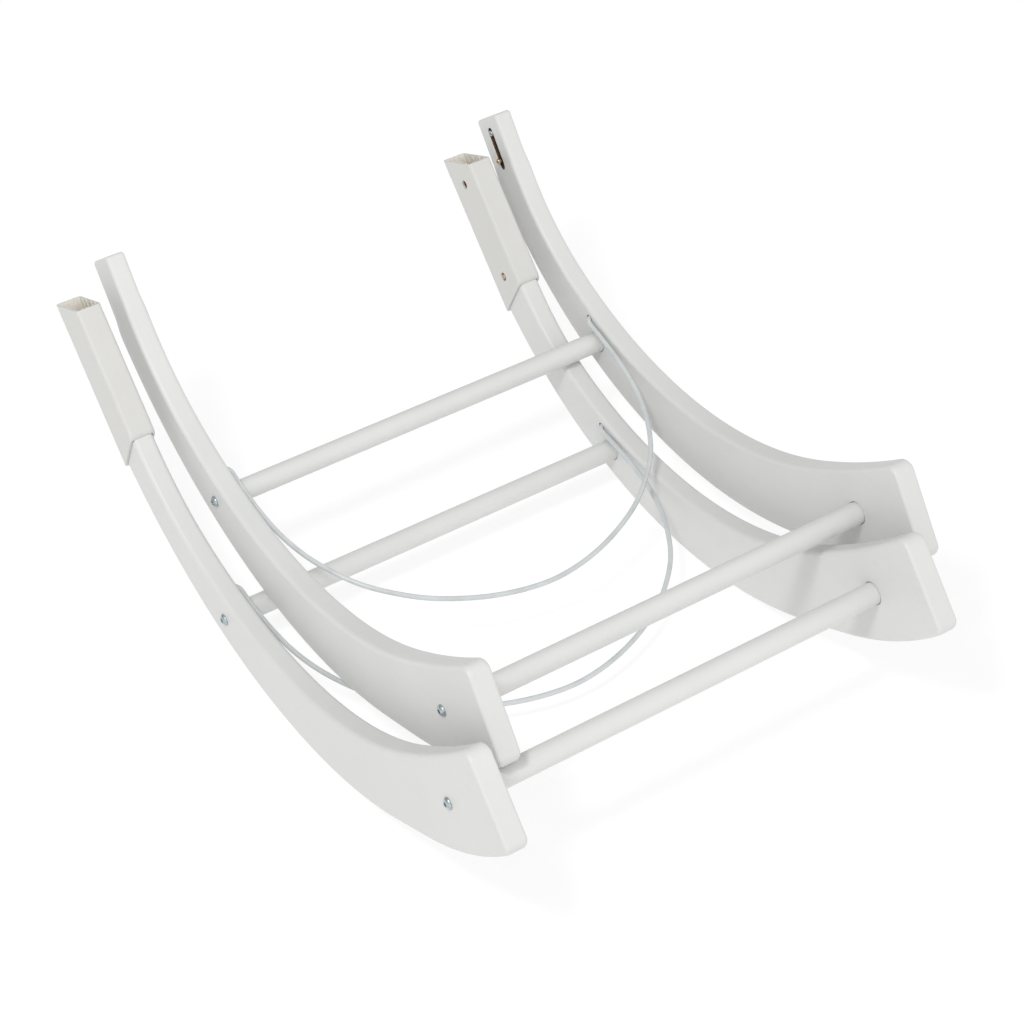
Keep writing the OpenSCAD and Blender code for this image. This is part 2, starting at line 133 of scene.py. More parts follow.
def make_camera():
    h, d, r = (math.radians(a) for a in (CAMERA_HEADING, CAMERA_DOWN, CAMERA_ROLL))
    look = Vector((math.cos(h) * math.cos(d), math.sin(h) * math.cos(d), -math.sin(d)))
    level = look.cross(Vector((0, 0, 1))).normalized()
    over = level.cross(look)
    right = level * math.cos(r) + over * math.sin(r)
    up = right.cross(look)
    cam = bpy.data.objects.new("camera", bpy.data.cameras.new("camera"))
    bpy.context.scene.collection.objects.link(cam)
    turn = Matrix((right, up, -look)).transposed().to_4x4()
    cam.matrix_world = Matrix.Translation(CAMERA_AT) @ turn
    cam.data.sensor_width = 36
    cam.data.lens = 36 * CAMERA_FOCAL
    cam.data.clip_start = 0.05
    cam.data.clip_end = 60
    bpy.context.scene.camera = cam


make_camera()


# ---------------------------------------------------------------- places
def box_centre(node):
    lo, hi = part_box(node)
    return (lo + hi) / 2


def frame_matrix(name):
    """From a frame's own X, Y, Z to the row frame, read off its two crossbars."""
    lower, upper = (box_centre(f"{name}_{level}_bar") for level in ("lower", "upper"))
    x = Vector((1, 0, 0))
    y = (lower - upper).normalized()
    z = x.cross(y)
    m = Matrix((x, y, z)).transposed().to_4x4()
    return Matrix.Translation(lower - x * FRAME_W / 2) @ m


PLACE = {name: frame_matrix(name) for name in FRAMES}


def arc_step(p, heading, radius, turn):
    a, b = math.radians(heading), math.radians(heading + turn)
    return p + radius * np.array([math.sin(b) - math.sin(a), math.cos(a) - math.cos(b)])


def edge_length(edge):
    return sum(r * math.radians(a) for r, a in edge[2])


def edge_point(edge, part):
    """The point at that part, 0 to 1, of the edge's length."""
    p, heading, arcs = np.array(edge[0]), edge[1], edge[2]
    left = part * edge_length(edge)
    for i, (r, a) in enumerate(arcs):
        if left <= r * math.radians(a) or i == len(arcs) - 1:
            return arc_step(p, heading, r, math.degrees(left / r))
        p, heading, left = arc_step(p, heading, r, a), heading + a, left - r * math.radians(a)


MEAN_L = (edge_length(OUT_EDGE) + edge_length(IN_EDGE)) / 2
SHOULDER_OUT, SHOULDER_IN = edge_point(OUT_EDGE, 1), edge_point(IN_EDGE, 1)
SHOULDER = (SHOULDER_OUT + SHOULDER_IN) / 2
HEAD_ANGLE = math.radians(TONGUE_HEAD)
ALONG = np.array([math.cos(HEAD_ANGLE), math.sin(HEAD_ANGLE)])
ACROSS = np.array([math.sin(HEAD_ANGLE), -math.cos(HEAD_ANGLE)])
LEAN = (SHOULDER_IN - SHOULDER_OUT) @ ALONG / ((SHOULDER_OUT - SHOULDER_IN) @ ACROSS)


def head_point(x, n, a):
    """Frame point at x, n across the tongue and a along it."""
    q = SHOULDER + n * ACROSS + a * ALONG
    return (x, q[0], q[1])


def head_of(x, u, v):
    """The other way: x, across and along, for a frame point."""
    q = np.array([u, v]) - SHOULDER
    return x, q @ ACROSS, q @ ALONG


MIRROR = Matrix.Translation((FRAME_W, 0, 0)) @ Matrix.Scale(-1, 4, (1, 0, 0))


def to_row(frame_name, side):
    return PLACE[frame_name] @ (MIRROR if side == "right" else Matrix.Identity(4))


# ---------------------------------------------------------------- mesh helpers
TIP_R = 0.001 * MM  # the smallest ring, which closes a point
WELD = 0.01 * MM
SHARP_FROM = 40  # degrees between faces


def mesh_object(name, verts, faces):
    me = bpy.data.meshes.new(name)
    me.from_pydata([tuple(float(c) for c in v) for v in verts], [], faces)
    me.validate()
    ob = bpy.data.objects.new(name, me)
    bpy.context.scene.collection.objects.link(ob)
    bm = bmesh.new()
    bm.from_mesh(me)
    bmesh.ops.recalc_face_normals(bm, faces=bm.faces)
    bm.to_mesh(me)
    bm.free()
    return ob


def loft(name, rings):
    """A closed mesh through rings that all have as many points."""
    n = len(rings[0])
    verts = [p for ring in rings for p in ring]
    faces = []
    for j in range(len(rings) - 1):
        for i in range(n):
            k = (i + 1) % n
            faces.append((j * n + i, j * n + k, (j + 1) * n + k, (j + 1) * n + i))
    faces.append(tuple(range(n - 1, -1, -1)))
    faces.append(tuple((len(rings) - 1) * n + i for i in range(n)))
    return mesh_object(name, verts, faces)


def turned(name, outline, axis_from, axis_to, sides):
    """A round piece: outline is (distance along the axis, radius), ends closed."""
    a, b = Vector(axis_from), Vector(axis_to)
    z = (b - a).normalized()
    x = z.orthogonal().normalized()
    y = z.cross(x)
    rings = []
    for d, r in outline:
        ring = []
        for i in range(sides):
            t = 2 * math.pi * i / sides
            ring.append(a + z * d + (x * math.cos(t) + y * math.sin(t)) * max(r, TIP_R))
        rings.append(ring)
    return loft(name, rings)


def turned_x(name, outline, start, sides):
    """A round piece along X from its start."""
    return turned(name, outline, start, (1, start[1], start[2]), sides)


def cut(ob, cutter):
    """Take the cutter away from the piece, and delete the cutter."""
    mod = ob.modifiers.new("cut", "BOOLEAN")
    mod.operation = "DIFFERENCE"
    mod.solver = "EXACT"
    mod.object = cutter
    dg = bpy.context.evaluated_depsgraph_get()
    me = bpy.data.meshes.new_from_object(ob.evaluated_get(dg))
    ob.modifiers.clear()
    old, ob.data = ob.data, me
    me.name = ob.name
    bpy.data.meshes.remove(old)
    bpy.data.objects.remove(cutter)


def clean(ob):
    """Weld the points that the cuts left nearly on one another."""
    bm = bmesh.new()
    bm.from_mesh(ob.data)
    bmesh.ops.remove_doubles(bm, verts=bm.verts, dist=WELD)
    bmesh.ops.dissolve_degenerate(bm, dist=WELD, edges=bm.edges)
    bmesh.ops.recalc_face_normals(bm, faces=bm.faces)
    bm.to_mesh(ob.data)
    bm.free()


def smooth(ob):
    """Smooth shading with hard edges kept, and flat faces kept flat."""
    me = ob.data
    me.polygons.foreach_set("use_smooth", [True] * len(me.polygons))
    me.set_sharp_from_angle(angle=math.radians(SHARP_FROM))
    mod = ob.modifiers.new("flat_faces", "WEIGHTED_NORMAL")
    mod.keep_sharp = True
    mod.weight = 80


def second_material(ob, chosen):
    """Give material 1 to the faces whose centre, x, across and along, is chosen."""
    for face in ob.data.polygons:
        face.material_index = int(chosen(*head_of(*face.center)))


def place(ob, matrix):
    ob.data.transform(matrix)
    if matrix.determinant() < 0:
        ob.data.flip_normals()
    ob.data.update()


def copy_of(ob, name):
    new = bpy.data.objects.new(name, ob.data.copy())
    new.data.name = name
    bpy.context.scene.collection.objects.link(new)
    return new


def finish_piece(ob, body, nodes, slot, *materials):
    smooth(ob)
    last = len(materials) - 1
    indices = [min(face.material_index, last) for face in ob.data.polygons]
    ob.data.materials.clear()
    for material in materials:
        ob.data.materials.append(material)
    ob.data.polygons.foreach_set("material_index", indices)
    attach(ob, body)
    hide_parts(*nodes)


# ---------------------------------------------------------------- materials
def new_material(name):
    mat = bpy.data.materials.new(name)
    mat.use_nodes = True
    nt = mat.node_tree
    return mat, nt, nt.nodes["Principled BSDF"]


def node(nt, kind, **settings):
    nd = nt.nodes.new(kind)
    for key, value in settings.items():
        setattr(nd, key, value)
    return nd


def coords(nt, scale=(1, 1, 1)):
    tc = nt.nodes.new("ShaderNodeTexCoord")
    mp = nt.nodes.new("ShaderNodeMapping")
    mp.inputs["Scale"].default_value = scale
    nt.links.new(tc.outputs["Object"], mp.inputs["Vector"])
    return mp.outputs["Vector"]


def noise(nt, vector, scale, detail, rough=0.5):
    nd = nt.nodes.new("ShaderNodeTexNoise")
    nd.inputs["Scale"].default_value = scale
    nd.inputs["Detail"].default_value = detail
    nd.inputs["Roughness"].default_value = rough
    nt.links.new(vector, nd.inputs["Vector"])
    return nd.outputs["Fac"]


def ramp(nt, fac, stops):
    nd = nt.nodes.new("ShaderNodeValToRGB")
    els = nd.color_ramp.elements
    while len(els) < len(stops):
        els.new(0.5)
    for el, (pos, col) in zip(els, stops):
        el.position = pos
        el.color = (*col, 1)
    nt.links.new(fac, nd.inputs["Fac"])
    return nd.outputs["Color"]


def scaled(nt, fac, low, high):
    nd = nt.nodes.new("ShaderNodeMapRange")
    nd.inputs["To Min"].default_value = low
    nd.inputs["To Max"].default_value = high
    nt.links.new(fac, nd.inputs["Value"])
    return nd.outputs["Result"]


def bump(nt, height, strength, distance, after=None):
    nd = nt.nodes.new("ShaderNodeBump")
    nd.inputs["Strength"].default_value = strength
    nd.inputs["Distance"].default_value = distance
    nt.links.new(height, nd.inputs["Height"])
    if after is not None:
        nt.links.new(after, nd.inputs["Normal"])
    return nd.outputs["Normal"]


def satin_paint(name, tint, grain):
    """White satin paint over wood: faint grain under it, brush texture, soft mottling."""
    mat, nt, bsdf = new_material(name)
    plain = coords(nt)
    stretched = coords(nt, grain)
    mottle = noise(nt, plain, 9, 5)
    fibres = noise(nt, stretched, 90, 6, 0.6)
    skin = noise(nt, plain, 900, 2)
    low = tuple(c * 0.965 for c in tint)
    colour = ramp(nt, mottle, [(0.3, low), (0.7, tint)])
    dark = ramp(nt, fibres, [(0.30, (0.97, 0.965, 0.95)), (0.48, (1, 1, 1))])
    mix = node(nt, "ShaderNodeMix", data_type="RGBA", blend_type="MULTIPLY")
    mix.inputs[0].default_value = 0.6
    nt.links.new(colour, mix.inputs[6])
    nt.links.new(dark, mix.inputs[7])
    nt.links.new(mix.outputs[2], bsdf.inputs["Base Color"])
    nt.links.new(scaled(nt, mottle, 0.36, 0.50), bsdf.inputs["Roughness"])
    n1 = bump(nt, fibres, 0.10, 0.0004)
    n2 = bump(nt, skin, 0.05, 0.00015, n1)
    nt.links.new(n2, bsdf.inputs["Normal"])
    bsdf.inputs["Specular IOR Level"].default_value = 0.45
    return mat


def bare_wood_with_painted_shade(name, tint, dark):
    """Routed wood, its brown darkened with painted shade: long dark fibres, dull, rough to the touch."""
    mat, nt, bsdf = new_material(name)
    fibres = noise(nt, coords(nt, (6, 0.8, 0.8)), 160, 6, 0.65)
    nt.links.new(ramp(nt, fibres, [(0.35, dark), (0.65, tint)]), bsdf.inputs["Base Color"])
    nt.links.new(scaled(nt, fibres, 0.65, 0.85), bsdf.inputs["Roughness"])
    nt.links.new(bump(nt, fibres, 0.3, 0.0003), bsdf.inputs["Normal"])
    return mat


def moulded_plastic(name, tint):
    """Drawn ivory plastic: fine lines along it, a little light through it."""
    mat, nt, bsdf = new_material(name)
    plain = coords(nt)
    drawn = coords(nt, (1, 0.15, 0.15))
    mottle = noise(nt, plain, 14, 4)
    lines = noise(nt, drawn, 420, 3)
    low = (tint[0] * 0.975, tint[1] * 0.97, tint[2] * 0.95)
    nt.links.new(ramp(nt, mottle, [(0.3, low), (0.7, tint)]), bsdf.inputs["Base Color"])
    nt.links.new(scaled(nt, mottle, 0.30, 0.42), bsdf.inputs["Roughness"])
    nt.links.new(bump(nt, lines, 0.08, 0.0002), bsdf.inputs["Normal"])
    bsdf.inputs["Subsurface Weight"].default_value = 0.08
    bsdf.inputs["Subsurface Radius"].default_value = (0.004, 0.003, 0.002)
    return mat


def painted_light_and_shade_cavity(name, stops):
    """The sleeve's inside: painted light at the mouth, as if lit through its walls, and painted orange
    and brown shade further in.
    """
    mat, nt, bsdf = new_material(name)
    depth = node(nt, "ShaderNodeAttribute", attribute_name="depth")
    lines = noise(nt, coords(nt, (1, 0.15, 0.15)), 420, 3)
    wobble = node(nt, "ShaderNodeMath", operation="MULTIPLY_ADD")
    wobble.inputs[1].default_value = 0.03
    nt.links.new(lines, wobble.inputs[0])
    nt.links.new(depth.outputs["Fac"], wobble.inputs[2])
    nt.links.new(ramp(nt, wobble.outputs["Value"], stops), bsdf.inputs["Base Color"])
    nt.links.new(scaled(nt, lines, 0.4, 0.55), bsdf.inputs["Roughness"])
    nt.links.new(bump(nt, lines, 0.1, 0.0002), bsdf.inputs["Normal"])
    bsdf.inputs["Subsurface Weight"].default_value = 0.3
    bsdf.inputs["Subsurface Radius"].default_value = (0.006, 0.004, 0.002)
    return mat


def metal(name, tint, dark, rough=(0.22, 0.42), scale=350):
    """Plated or tarnished metal: patches of two tones, and a fine bump."""
    mat, nt, bsdf = new_material(name)
    plain = coords(nt)
    patches = noise(nt, plain, scale, 5, 0.6)
    fine = noise(nt, plain, scale * 6, 3)
    nt.links.new(ramp(nt, patches, [(0.32, dark), (0.68, tint)]), bsdf.inputs["Base Color"])
    nt.links.new(scaled(nt, patches, *rough), bsdf.inputs["Roughness"])
    nt.links.new(bump(nt, fine, 0.12, 0.0001), bsdf.inputs["Normal"])
    bsdf.inputs["Metallic"].default_value = 1.0
    return mat


def coated_cable(name, tint):
    """Smooth plastic coat; the rope's strands show faintly through it."""
    mat, nt, bsdf = new_material(name)
    plain = coords(nt)
    mottle = noise(nt, plain, 40, 4)
    wave = nt.nodes.new("ShaderNodeTexWave")
    wave.inputs["Scale"].default_value = 160
    wave.inputs["Distortion"].default_value = 1.5
    nt.links.new(plain, wave.inputs["Vector"])
    low = tuple(c * 0.86 for c in tint)
    nt.links.new(ramp(nt, mottle, [(0.3, low), (0.7, tint)]), bsdf.inputs["Base Color"])
    nt.links.new(scaled(nt, mottle, 0.22, 0.34), bsdf.inputs["Roughness"])
    nt.links.new(bump(nt, wave.outputs["Fac"], 0.10, 0.0002), bsdf.inputs["Normal"])
    return mat


RAIL_PAINT = satin_paint("rail_paint", (0.68, 0.68, 0.67), (6, 0.5, 1.2))
BAR_PAINT = satin_paint("bar_paint", (0.69, 0.69, 0.68), (0.4, 5, 5))
# The slot's bare wood is much darker than raw wood: painted shade of the slot's inside.
BARE_WOOD_PAINTED_SHADE = bare_wood_with_painted_shade("bare_wood_with_painted_shade", (0.17, 0.09, 0.05), (0.07, 0.035, 0.02))
IVORY = moulded_plastic("sleeve_ivory", (0.625, 0.623, 0.608))
# Painted light near the sleeve's mouth, painted orange and brown shade deeper in.
CAVITY_PAINTED_LIGHT_AND_SHADE = painted_light_and_shade_cavity("sleeve_cavity_painted_light_and_shade", [
    (0.03, (0.80, 0.78, 0.72)), (0.10, (0.72, 0.68, 0.59)),
    (0.15, (0.72, 0.36, 0.17)), (0.3, (0.33, 0.23, 0.16)),
])
ZINC = metal("zinc_plate", (0.56, 0.62, 0.64), (0.34, 0.40, 0.42))
# Bright plated metal; its warm brown tone is a painted reflection of the brown slot round it.
BUTTON_PAINTED_REFLECTION = metal("button_metal_painted_reflection", (0.72, 0.63, 0.50), (0.36, 0.26, 0.17), (0.14, 0.28), 250)
# The leaf's bronze brown is darkened with painted shade from the slot it lies in.
SPRING_PAINTED_SHADE = metal("spring_strip_painted_shade", (0.20, 0.12, 0.075), (0.08, 0.045, 0.03), (0.30, 0.50), 200)
COAT = coated_cable("cable_coat", (0.63, 0.66, 0.665))
FERRULE = metal("ferrule_alloy", (0.60, 0.61, 0.62), (0.42, 0.43, 0.44))


# ---------------------------------------------------------------- cables
def spline_through(points, steps):
    """Catmull-Rom through the points, with that many steps on each stretch."""
    p = [np.array(q, float) for q in points]
    p = [2 * p[0] - p[1]] + p + [2 * p[-1] - p[-2]]
    out = []
    for i in range(1, len(p) - 2):
        a, b, c, d = p[i - 1:i + 3]
        for k in range(steps):
            t = k / steps
            out.append(0.5 * (2 * b + (c - a) * t + (2 * a - 5 * b + 4 * c - d) * t * t
                              + (3 * b - a - 3 * c + d) * t ** 3))
    return out + [p[-2]]


def cable_line(name):
    """A cable's middle line from rail to rail, in the row frame."""
    whole = []
    for i, (a, b) in enumerate(HALF_ROUTE):
        lean = LEFT_LEAN[i] if i < len(LEFT_LEAN) else 0
        whole.append(np.array([RAIL_T + a * MM, b * MM, lean * MM]))
    for a, b in HALF_ROUTE[-2::-1]:
        whole.append(np.array([FRAME_W - RAIL_T - a * MM, b * MM, 0]))
    reach = HALF_ROUTE[-1][1] * MM
    stretch = (CABLE_REACH[name] - CABLE_FIXED) / (reach - CABLE_FIXED)
    d = math.radians(CABLE_DIR[name])
    line = []
    for x, y, w in spline_through(whole, CABLE_STEPS):
        if y > CABLE_FIXED:
            y = CABLE_FIXED + (y - CABLE_FIXED) * stretch
        u = CABLE_HOLE[0] + y * math.cos(d) - w * math.sin(d)
        v = CABLE_HOLE[1] + y * math.sin(d) + w * math.cos(d)
        line.append(PLACE[name] @ Vector((x, u, v)))
    return line


def make_cable(name):
    line = cable_line(name)
    cu = bpy.data.curves.new(f"{name}_cable_rope", "CURVE")
    cu.dimensions = "3D"
    sp = cu.splines.new("POLY")
    sp.points.add(len(line) - 1)
    for pt, p in zip(sp.points, line):
        pt.co = (*p, 1)
    cu.bevel_depth = CABLE_D / 2
    cu.bevel_resolution = 6
    cu.use_fill_caps = True
    sp.use_smooth = True
    ob = bpy.data.objects.new(f"{name}_cable_rope", cu)
    bpy.context.scene.collection.objects.link(ob)
    cu.materials.append(COAT)
    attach(ob, f"{name}_frame")
    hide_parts(f"{name}_cable")
    length = sum((b - a).length for a, b in zip(line, line[1:]))
    tuple(line[0])
    print("cable", name, round(length, 4))


for name in FRAMES:
    make_cable(name)


# ---------------------------------------------------------------- rails
RUN_RINGS = 110  # between the foot and the shoulder
SKIN = 0.05 * MM  # how far off a cut's walls a face still counts as one of them


def inset(r, s):
    """How far an edge of radius r stands back, s from the end that it rounds."""
    return 0.0 if s >= r else r - math.sqrt(r * r - (r - s) ** 2)


def profile(x0, x1, y0, y1, r, per_corner=7):
    """A rounded rectangle as (x, y) points."""
    pts = []
    for c, (cx, cy) in enumerate(((x0 + r, y0 + r), (x1 - r, y0 + r),
                                  (x1 - r, y1 - r), (x0 + r, y1 - r))):
        for k in range(per_corner):
            a = math.radians(180 + 90 * c + 90 * k / (per_corner - 1))
            pts.append((cx + r * math.cos(a), cy + r * math.sin(a)))
    return pts


def rail_ring(s):
    """The rail's outline, s metres from the foot."""
    part = min(s / MEAN_L, 1)
    p, q = edge_point(OUT_EDGE, part), edge_point(IN_EDGE, part)
    width = np.linalg.norm(q - p)
    e = (q - p) / width
    side = inset(FOOT_EDGE_R, s)
    y0 = inset(FOOT_R_OUT, s)
    y1 = width - inset(FOOT_R_IN, s)
    r = max(EDGE_R - side, 0.8 * MM)
    return [(x, *(p + e * y)) for x, y in profile(side, RAIL_T - side, y0, y1, r)]


def tongue_ring(a, lean, inset_x=0.0, inset_n=0.0):
    """The tongue's outline at a; a lean of 1 is parallel to the rail's shoulder."""
    x0, x1 = TONGUE_STEP + inset_x, FACE_X - inset_x
    w = TONGUE_W / 2 - inset_n
    r = TONGUE_CORNER - inset_x
    ring = []
    for x, y in profile(x0, x1, -w, w, r):
        n = -y
        ring.append(head_point(x, n, a - lean * LEAN * n))
    return ring


def faded(ring_a, ring_b, part):
    """A ring between two, which leaves the first and meets the second smoothly."""
    part = part * part * (3 - 2 * part)
    return [tuple(np.array(p) * (1 - part) + np.array(q) * part) for p, q in zip(ring_a, ring_b)]


def rail_mesh(name, fade):
    foot = [0, 0.04, 0.15, 0.35, 0.65, 1.1, 1.7, 2.4, 3.2, 4.2, 5.3, 6.6, 8, 9.5, 11.2, 13, 15]
    run_l = MEAN_L / MM - foot[-1] - 3
    run = [foot[-1] + run_l * i / RUN_RINGS for i in range(1, RUN_RINGS + 1)]
    rings = [rail_ring(s * MM) for s in foot + run]
    shoulder = rail_ring(MEAN_L)
    for k in range(1, 9):
        a = fade * k / 8
        start = [tuple(np.array(p) + (0, *(a * ALONG))) for p in shoulder]
        rings.append(faded(start, tongue_ring(a, 1), k / 8))
    for k in range(1, 5):
        a = fade + (TONGUE_L - TIP_ROUND[0] - fade) * k / 5
        rings.append(tongue_ring(a, 1 - k / 5))
    across, through = TIP_ROUND
    for t in range(0, 91, 15):
        c = 1 - math.cos(math.radians(t))
        a = TONGUE_L - across + across * math.sin(math.radians(t))
        rings.append(tongue_ring(a, 0, through * c, across * c))
    return loft(name, rings)


def rod_cutter(x_profile, at):
    """Round cutter along X at (Y, Z); x_profile is (x, radius)."""
    x0 = x_profile[0][0]
    prof = [((x - x0) * MM, r * MM) for x, r in x_profile]
    return turned_x("cutter", prof, (x0 * MM, *at), 72)


def cable_axis(name):
    """Where a cable leaves the rail's inner face, and which way."""
    d, e = math.radians(CABLE_DIR[name]), math.radians(CABLE_EXIT)
    way = Vector((math.sin(e), math.cos(e) * math.cos(d), math.cos(e) * math.sin(d)))
    return Vector((RAIL_T, *CABLE_HOLE)), way


def slot_cutters():
    """The leaf spring's slot, its shallower step and the leaf screw's hole."""
    low, high = SLOT_ENDS
    edge, r = SLOT_EDGE, SLOT_W / 2
    half_turn = [math.pi * k / 24 for k in range(25)]

    def stadium(x, grow):
        wide = r + grow
        pts = [(-wide * math.cos(t), low + r - wide * math.sin(t)) for t in half_turn]
        pts += [(wide * math.cos(t), high - r + wide * math.sin(t)) for t in half_turn]
        return [head_point(x, n, a) for n, a in pts]

    yield loft("cutter", [stadium(SLOT_STEP_X, 0), stadium(FACE_X - edge, 0),
                          stadium(FACE_X, edge), stadium(RAIL_T + edge, edge)])
    wide, end = r - 0.1 * MM, SCREW_A - 4 * MM
    well = [(-wide, end), (wide, end)]
    well += [(wide * math.cos(t), low + r - wide * math.sin(t)) for t in half_turn]
    yield loft("cutter", [[head_point(x, n, a) for n, a in well]
                          for x in (SLOT_FLOOR_X, SLOT_STEP_X + 0.2 * MM)])
    hole = [(0, SCREW_HOLE_R), (14 * MM, SCREW_HOLE_R)]
    yield turned_x("cutter", hole, head_point(SCREW_TIP_X - 1 * MM, 0, SCREW_A), 32)


def left_rail(name):
    ob = rail_mesh(f"{name}_left_rail_wood", SHOULDER_FADE[name])
    fit, hole = BAR_R / MM + 0.5, BOLT_HOLE_R / MM
    face = RAIL_T / MM
    floor = face - BAR_INSET / MM
    pocket = [(floor, fit), (face - 0.6, fit), (face, fit + 0.4), (face + 1, fit + 1.4)]
    for y in BAR_Y.values():
        cut(ob, rod_cutter(pocket, (y, 0)))
        cut(ob, rod_cutter([(-1, hole), (floor + 1, hole)], (y, 0)))
    face_point, way = cable_axis(name)
    r = FERRULE_R + 0.5 * MM
    behind, length = CABLE_BORE
    start = face_point - way * behind
    cut(ob, turned("cutter", [(0, r), (length, r)], start, start + way, 48))
    for cutter in slot_cutters():
        cut(ob, cutter)
    clean(ob)
    second_material(ob, in_slot)
    return ob


def in_slot(x, n, a):
    """Whether a face's centre is on the slot's bare wood, darkened with painted shade."""
    low, high = SLOT_ENDS
    inside = abs(n) < SLOT_W / 2 + SKIN and low - SKIN < a < high + SKIN
    return inside and 2 * MM < x < FACE_X - SLOT_EDGE


def make_rails(name):
    left = left_rail(name)
    right = copy_of(left, f"{name}_right_rail_wood")
    for side, ob in (("left", left), ("right", right)):
        place(ob, to_row(name, side))
        finish_piece(ob, f"{name}_frame", [f"{name}_{side}_rail"], "painted_rail", RAIL_PAINT, BARE_WOOD_PAINTED_SHADE)


# ---------------------------------------------------------------- crossbars and bolts
def make_bar(name, level):
    x0 = RAIL_T - BAR_INSET
    length = FRAME_W - 2 * x0
    edge, broken, r = 0.5 * MM, 0.15 * MM, BAR_R
    deep, bore = INSERT_BORE
    half = [(deep, 0), (deep, bore), (0, bore), (0, r - edge), (broken, r - broken), (edge, r)]
    body = [(length * k / 24, r) for k in range(1, 24)]
    prof = half + body + [(length - d, rr) for d, rr in reversed(half)]
    ob = turned_x(f"{name}_{level}_bar_wood", prof, (x0, BAR_Y[level], 0), 96)
    place(ob, PLACE[name])
    finish_piece(ob, f"{name}_frame", [f"{name}_{level}_bar"], "painted_bar", BAR_PAINT)


def bolt_mesh(name, y):
    """A domed head against the rail's face, with a hexagon socket, on a plain shank."""
    r, h = BOLT_HEAD_R / MM, BOLT_HEAD_H / MM
    shank, sock = BOLT_R / MM, BOLT_SOCKET_R / MM
    sides = 96
    tail = (RAIL_T - BAR_INSET + INSERT_L) / MM
    dome = [(0, 0.15), (-0.15, 0), (-0.8, 0), (-1.2, 0.08), (-1.6, 0.25), (-2.1, 0.6), (-2.6, 1.1),
            (-3.0, 1.6), (-3.4, 2.2), (-3.7, 2.75), (-3.95, 3.2), (-h, 3.5)]
    prof = [(tail, 2.0), (tail - 1, shank), (0, shank)] + [(x, r - d) for x, d in dome]
    prof += [(-h + 0.1, sock + 0.1)]

    def ring(x, radius):
        return [(x * MM, y + radius(t) * MM * math.cos(t), radius(t) * MM * math.sin(t))
                for t in (2 * math.pi * i / sides for i in range(sides))]

    def flat(t):
        k = math.radians(30) - t % math.radians(60)
        return sock * math.cos(math.radians(30)) / math.cos(k)

    rings = [ring(x, lambda t, rad=rad: rad) for x, rad in prof]
    rings += [ring(-h + 0.35, flat), ring(-h + 2.4, flat)]
    rings += [ring(-h + 2.6, lambda t: 1.6), ring(-h + 3.0, lambda t: 0.3)]
    return loft(name, rings)


def make_bolt(name, level, side):
    ob = bolt_mesh(f"{name}_{level}_{side}_bolt_zinc", BAR_Y[level])
    place(ob, to_row(name, side))
    finish_piece(ob, f"{name}_frame", [f"{name}_bolt_{level}_{side}"], "bolt_steel", ZINC)


# ---------------------------------------------------------------- sleeves
RIB_N = (-19, -7, 7, 19)
RIB_X = (6, 12, 18)
RIB_W = 2.0


def ribbed_cavity():
    """Outline of the sleeve's inside in mm: x and n, with ribs standing in from each wall."""
    x0 = (RAIL_T - SLEEVE_T) / 2 / MM + SLEEVE_WALL / MM
    x1 = RAIL_T / MM - x0
    w = SLEEVE_W / 2 / MM - SLEEVE_WALL / MM
    rx0, rx1, rn = 0.5, RAIL_T / MM - 0.5, TONGUE_W / 2 / MM + 0.4
    half = RIB_W / 2
    pts = []
    for n in RIB_N:
        pts += [(x0, n - half), (rx0, n - half), (rx0, n + half), (x0, n + half)]
    pts.append((x0, w))
    for x in RIB_X:
        pts += [(x - half, w), (x - half, rn), (x + half, rn), (x + half, w)]
    pts.append((x1, w))
    for n in reversed(RIB_N):
        pts += [(x1, n + half), (rx1, n + half), (rx1, n - half), (x1, n - half)]
    pts.append((x1, -w))
    for x in reversed(RIB_X):
        pts += [(x + half, -w), (x + half, -rn), (x - half, -rn), (x - half, -w)]
    pts.append((x0, -w))
    return pts


def prism(name, outline, tail, mouth):
    """Outline of (x, n) in mm drawn from plane to plane; a plane is (a at n = 0, lean)."""
    rings = []
    for a, lean in (tail, mouth):
        rings.append([head_point(x * MM, n * MM, (a + lean * n) * MM) for x, n in outline])
    return loft(name, rings)


